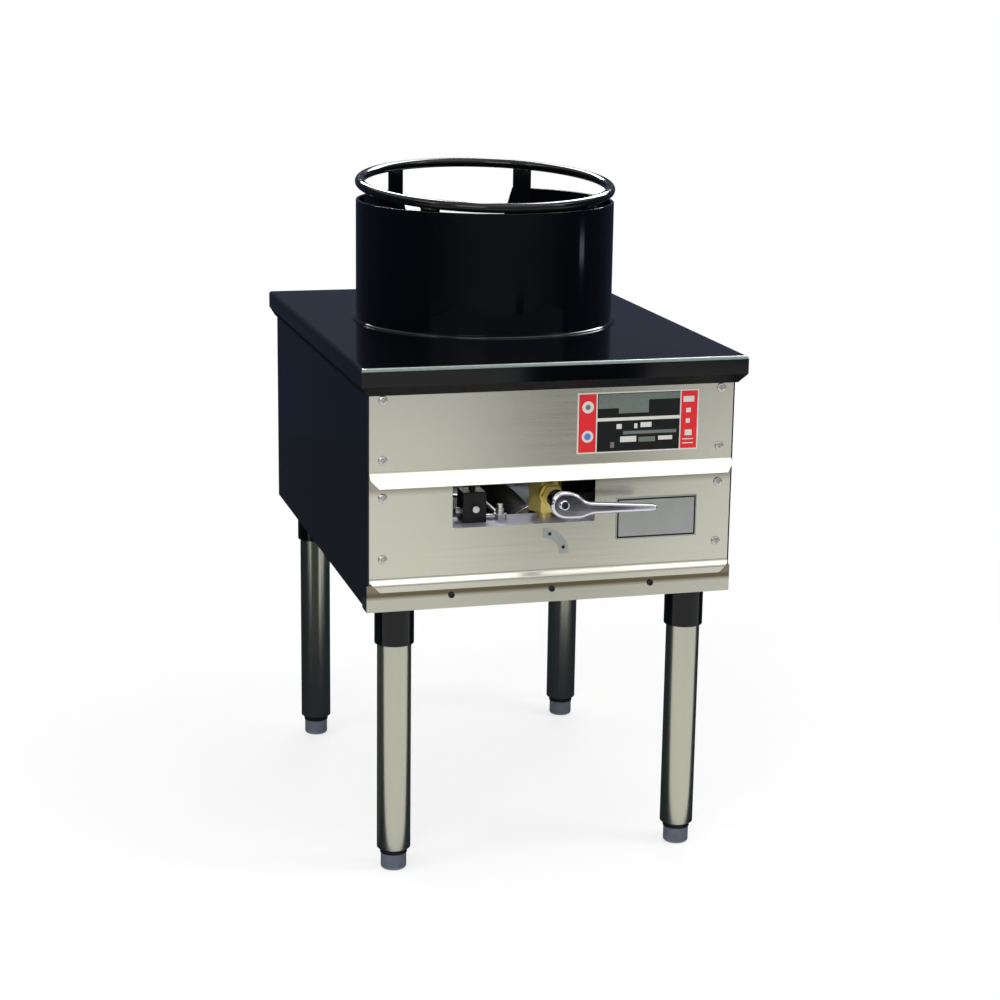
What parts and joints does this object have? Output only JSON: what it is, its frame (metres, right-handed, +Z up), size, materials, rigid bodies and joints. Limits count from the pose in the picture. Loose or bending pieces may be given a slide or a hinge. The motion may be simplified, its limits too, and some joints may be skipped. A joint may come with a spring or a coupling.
{
  "type": "wok range",
  "caption": "Free-standing gas wok range with one raised chamber, a tipped wok ring, stainless front, lever valve and round legs.",
  "frame": {"origin": "on the floor, under the middle of the whole footprint, lever and gas inlet included", "axes": "+Z up, -Y towards the cook, +X to the cook's right"},
  "size_m": [0.4786, 0.6978, 0.8379],
  "materials": {
    "black_enamel": "glossy black enamel",
    "ring_enamel": "satin black enamel on steel rod and flat bar",
    "stainless": "brushed stainless steel",
    "galvanised": "galvanised sheet steel",
    "screw_steel": "plain stainless screws",
    "badge": "printed plate, red, black and pale",
    "bare_plate": "satin aluminium plates",
    "black_pipe": "black steel pipe and fittings",
    "valve_brass": "dull yellow brass",
    "lever_chrome": "polished plated lever",
    "burner_iron": "rough cast iron",
    "shutter_steel": "plain steel disc",
    "pilot_black": "black anodised block",
    "pilot_metal": "bare light metal",
    "foot_grey": "dull plated steel"
  },
  "bodies": {
    "chassis": {"top_plate": "black_enamel", "chamber_collar": "black_enamel", "collar_base_ring": "black_enamel", "wok_ring": "ring_enamel", "ring_tabs": "ring_enamel", "left_side_panel": "black_enamel", "right_side_panel": "black_enamel", "back_panel": "galvanised", "back_panel_screws": "screw_steel", "bottom_pan": "galvanised", "front_post_left": "galvanised", "front_post_right": "galvanised", "front_top_rail": "galvanised", "front_bottom_rail": "galvanised", "bottom_front_channel": "stainless", "channel_screws": "screw_steel", "upper_front_panel": "stainless", "lower_front_panel": "stainless", "upper_panel_screws": "screw_steel", "lower_panel_screws": "screw_steel", "badge_plate": "badge", "data_plate": "bare_plate", "arc_plate": "bare_plate", "valve_shelf": "galvanised", "manifold_pipe": "black_pipe", "manifold_cap": "black_pipe", "supply_elbow": "black_pipe", "supply_pipe": "black_pipe", "valve_body": "valve_brass", "valve_bonnet": "valve_brass", "outlet_elbow": "valve_brass", "orifice_hood": "valve_brass", "mixing_tube": "burner_iron", "burner_head": "burner_iron", "burner_jets": "valve_brass", "burner_support": "galvanised", "burner_bolts": "screw_steel", "pilot_valve_body": "pilot_black", "pilot_side_nut": "pilot_metal", "pilot_adjuster_body": "pilot_metal", "pilot_tube": "pilot_metal", "pilot_burner": "pilot_metal", "leg_sockets": "black_enamel", "socket_bolts": "screw_steel", "socket_set_screws": "screw_steel", "leg_front_left": "stainless", "leg_front_right": "stainless", "leg_rear_left": "stainless", "leg_rear_right": "stainless", "leg_inserts": "galvanised"},
    "main_valve_handle": {"valve_plug": "valve_brass", "lever_handle": "lever_chrome", "lever_screw": "lever_chrome"},
    "pilot_push_button": {"pilot_button": "pilot_metal"},
    "pilot_screw": {"pilot_adjuster_screw": "pilot_metal"},
    "air_shutter_disc": {"air_shutter": "shutter_steel"},
    "adjustable_foot_front_left": {"foot_front_left": "foot_grey"},
    "adjustable_foot_front_right": {"foot_front_right": "foot_grey"},
    "adjustable_foot_rear_left": {"foot_rear_left": "foot_grey"},
    "adjustable_foot_rear_right": {"foot_rear_right": "foot_grey"}
  },
  "joints": [
    {"name": "valve_lever", "type": "hinge", "parent": "chassis", "child": "main_valve_handle", "pos_m": [0, -0.34, 0.476], "axis": [0, 1, 0], "range_deg": [0, 90]},
    {"name": "pilot_button_press", "type": "slide", "parent": "chassis", "child": "pilot_push_button", "axis": [0, 1, 0], "range_m": [0, 0.004], "stiffness_N_per_m": 400},
    {"name": "pilot_adjuster_turn", "type": "hinge", "parent": "chassis", "child": "pilot_screw", "pos_m": [-0.057, -0.2657, 0.456], "axis": [0, 0, 1], "range_deg": [0, 270]},
    {"name": "air_shutter_turn", "type": "hinge", "parent": "chassis", "child": "air_shutter_disc", "pos_m": [0, -0.216, 0.412], "axis": [0, 1, 0], "range_deg": [0, 45]},
    {"name": "foot_front_left_level", "type": "slide", "parent": "chassis", "child": "adjustable_foot_front_left", "axis": [0, 0, -1], "range_m": [0, 0.025]},
    {"name": "foot_front_right_level", "type": "slide", "parent": "chassis", "child": "adjustable_foot_front_right", "axis": [0, 0, -1], "range_m": [0, 0.025]},
    {"name": "foot_rear_left_level", "type": "slide", "parent": "chassis", "child": "adjustable_foot_rear_left", "axis": [0, 0, -1], "range_m": [0, 0.025]},
    {"name": "foot_rear_right_level", "type": "slide", "parent": "chassis", "child": "adjustable_foot_rear_right", "axis": [0, 0, -1], "range_m": [0, 0.025]}
  ]
}
